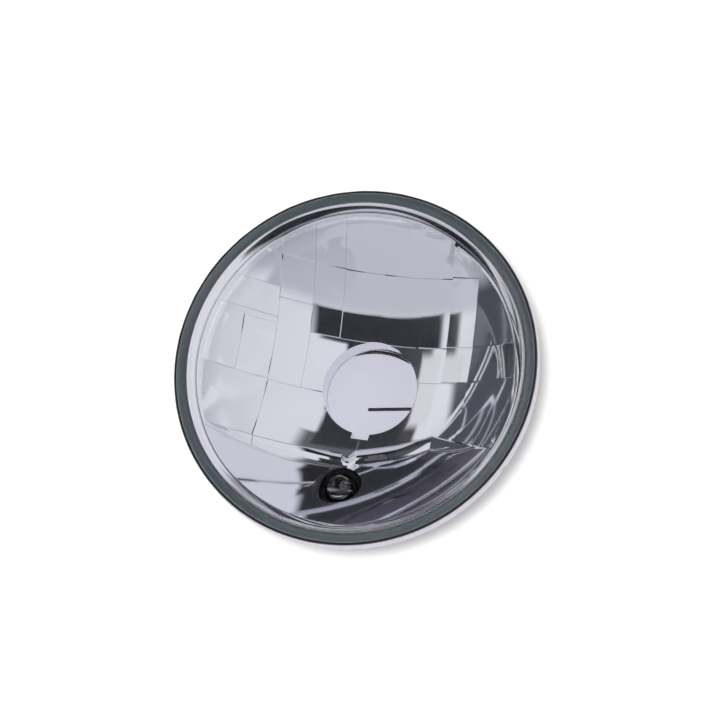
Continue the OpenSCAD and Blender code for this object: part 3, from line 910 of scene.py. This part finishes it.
# %% [markdown]
# The mirror shows the whole studio, so the studio needs its bright walls and its dark ceiling.
# They are soft zones of the world. A direction's place is on a flat disc, with the zenith in the
# middle and the horizon at radius 1. Each zone has a centre, a half size, a turn, a softness and a
# colour there, and a later zone lies over an earlier one. Lamps or painted walls would do too, but
# zones need no objects in the way and give the matt pieces no extra light: those see one even
# world, and only rays that the mirror or the glass sends see the zones.

# %% Studio
WORLD_LIGHT = 0.45
NADIR_GUARD = 1.0001
studio_zones = [
    ("front_wall", (0.0, -1.05), (2.0, 0.80), 0, 0.06, (0.62, 0.59, 0.67)),
    ("left_wall", (-0.95, 0.10), (0.30, 0.42), 8, 0.12, (0.06, 0.06, 0.08)),
    ("left_ceiling", (-0.26, -0.02), (0.20, 0.22), 0, 0.12, (0.060, 0.060, 0.075)),
    ("far_wall", (-0.30, 0.62), (0.45, 0.14), 0, 0.10, (0.12, 0.115, 0.13)),
    ("back_ceiling", (-0.19, 0.37), (0.27, 0.20), 0, 0.06, (0.030, 0.030, 0.035)),
    ("ceiling", (-0.14, -0.17), (0.32, 0.085), 0, 0.10, (0.022, 0.022, 0.026)),
    ("zenith", (-0.06, 0.03), (0.09, 0.16), 0, 0.15, (0.030, 0.030, 0.035)),
    ("right_ceiling", (0.03, 0.22), (0.06, 0.09), 0, 0.15, (0.030, 0.030, 0.035)),
    ("left_window", (-0.455, 0.18), (0.065, 0.20), 0, 0.20, (0.80, 0.77, 0.80)),
]
world = bpy.data.worlds.new("studio")
world.use_nodes = True
bpy.context.scene.world = world
nodes, links = world.node_tree.nodes, world.node_tree.links


def math_node(operation, first, second=None):
    """A maths node on numbers or sockets, returned as its output."""
    node = nodes.new("ShaderNodeMath")
    node.operation = operation
    for socket, value in zip(node.inputs, (first, second)):
        if isinstance(value, (int, float)):
            socket.default_value = value
        elif value is not None:
            links.new(value, socket)
    return node.outputs[0]


look = nodes.new("ShaderNodeTexCoord").outputs["Generated"]
parts = nodes.new("ShaderNodeSeparateXYZ")
links.new(look, parts.inputs[0])
drop = math_node("ADD", parts.outputs["Z"], NADIR_GUARD)
disc = nodes.new("ShaderNodeCombineXYZ")
links.new(math_node("DIVIDE", parts.outputs["X"], drop), disc.inputs["X"])
links.new(math_node("DIVIDE", parts.outputs["Y"], drop), disc.inputs["Y"])


def zone_mask(centre, half, turn_degrees, softness):
    """1 inside a soft-edged rectangle on the disc of directions, 0 outside."""
    place = nodes.new("ShaderNodeMapping")
    place.vector_type = "TEXTURE"
    place.inputs["Location"].default_value = (*centre, 0)
    place.inputs["Rotation"].default_value = (0, 0, math.radians(turn_degrees))
    place.inputs["Scale"].default_value = (*half, 1)
    links.new(disc.outputs[0], place.inputs["Vector"])
    split = nodes.new("ShaderNodeSeparateXYZ")
    links.new(place.outputs[0], split.inputs[0])
    far = math_node("MAXIMUM", math_node("ABSOLUTE", split.outputs["X"]),
                    math_node("ABSOLUTE", split.outputs["Y"]))
    fall = nodes.new("ShaderNodeMapRange")
    fall.interpolation_type = "SMOOTHSTEP"
    fall.inputs["From Min"].default_value = 1 - softness
    fall.inputs["From Max"].default_value = 1 + softness
    fall.inputs["To Min"].default_value = 1
    fall.inputs["To Max"].default_value = 0
    links.new(far, fall.inputs["Value"])
    return fall.outputs["Result"]


def mixed(factor, below, above):
    """A mix of two colours or colour sockets by a factor socket."""
    mix = nodes.new("ShaderNodeMix")
    mix.data_type = "RGBA"
    links.new(factor, mix.inputs["Factor"])
    for socket, value in ((mix.inputs[MIX_BELOW], below), (mix.inputs[MIX_ABOVE], above)):
        if isinstance(value, tuple):
            socket.default_value = (*value, 1)
        else:
            links.new(value, socket)
    return mix.outputs[MIX_RESULT]


studio_colour = (0.87, 0.83, 0.895)
for name, centre, half, turn_degrees, softness, colour in studio_zones:
    studio_colour = mixed(zone_mask(centre, half, turn_degrees, softness), studio_colour, colour)
path = nodes.new("ShaderNodeLightPath")
mirrored = math_node("MAXIMUM", path.outputs["Is Glossy Ray"], path.outputs["Is Transmission Ray"])
light_colour = mixed(path.outputs["Is Camera Ray"], (WORLD_LIGHT,) * 3, (1.0, 1.0, 1.0))
links.new(mixed(mirrored, light_colour, studio_colour), nodes["Background"].inputs["Color"])
print("studio zones:", len(studio_zones))

# %% [markdown]
# ## View
# Standard shows colours as they are written. A ray goes through the glass, off two or three
# mirrored facets and out through the glass again, so it needs more bounces than the default.

# %% View settings
bpy.context.scene.view_settings.view_transform = "Standard"
cycles = bpy.context.scene.cycles
cycles.max_bounces = 20
cycles.glossy_bounces = 10
cycles.transmission_bounces = 16
cycles.caustics_reflective = False
print("bounces:", cycles.max_bounces)
